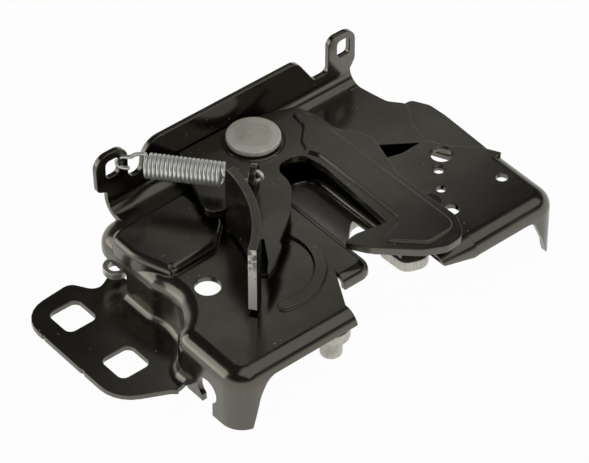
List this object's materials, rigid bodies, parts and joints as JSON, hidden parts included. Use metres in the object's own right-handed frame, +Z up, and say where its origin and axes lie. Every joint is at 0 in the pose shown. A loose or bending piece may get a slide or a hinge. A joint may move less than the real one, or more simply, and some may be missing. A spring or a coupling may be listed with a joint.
{
  "type": "bonnet latch",
  "caption": "Bonnet latch: pressed black steel body with an open striker throat, sprung hooked safety catch with a finger paddle, and a plated fork and pawl underneath.",
  "frame": {"origin": "on the axis of the round end of the striker throat, in the plane under the body's legs", "axes": "+X along the body towards the wing, +Y towards the back wall, so the throat opens towards -Y, +Z up, square to the body's panel"},
  "size_m": [0.1931, 0.1132, 0.061],
  "materials": {
    "black_coat": "semi-gloss black coating",
    "catch_coat": "semi-gloss black coating, worn bare on the paddle's edge",
    "rivet_steel": "bare steel, satin",
    "dark_rivet": "dark phosphated steel",
    "bush_steel": "plain steel",
    "spring_wire": "bright spring wire",
    "zinc_plate": "brushed, zinc plated",
    "buffer_rubber": "black rubber"
  },
  "bodies": {
    "frame": {"base_plate": "black_coat", "catch_rivet": "rivet_steel", "catch_bush": "bush_steel", "catch_washer": "bush_steel", "catch_spring": "spring_wire", "fork_rivet": "dark_rivet", "fork_spacer": "bush_steel", "fork_bush": "bush_steel", "fork_washer": "bush_steel", "fork_spring": "spring_wire", "fork_stop": "dark_rivet", "fork_buffer": "buffer_rubber", "pawl_rivet": "dark_rivet", "pawl_spacer": "bush_steel", "pawl_bush": "bush_steel", "pawl_washer": "bush_steel", "pawl_spring": "spring_wire"},
    "catch": {"safety_catch": "catch_coat"},
    "fork": {"fork": "zinc_plate"},
    "pawl": {"pawl": "zinc_plate", "release_lever": "zinc_plate", "pawl_stud": "zinc_plate"}
  },
  "joints": [
    {"name": "catch_pivot", "type": "hinge", "parent": "frame", "child": "catch", "pos_m": [-0.0043, 0.0258, 0.03675], "axis": [0, 0, 1], "range_deg": [0, 16.5], "stiffness_Nm_per_rad": 1.6, "springref_deg": -20.05, "deforming": ["catch_spring"]},
    {"name": "fork_pivot", "type": "hinge", "parent": "frame", "child": "fork", "pos_m": [0.024, -0.014, 0.019], "axis": [0, 0, 1], "range_deg": [-40, 0], "stiffness_Nm_per_rad": 0.3, "springref_deg": 34.38, "deforming": ["fork_spring"]},
    {"name": "pawl_pivot", "type": "hinge", "parent": "frame", "child": "pawl", "pos_m": [-0.042, -0.025, 0.017], "axis": [0, 0, 1], "range_deg": [0, 8], "stiffness_Nm_per_rad": 0.4, "springref_deg": -28.65, "deforming": ["pawl_spring"]}
  ]
}
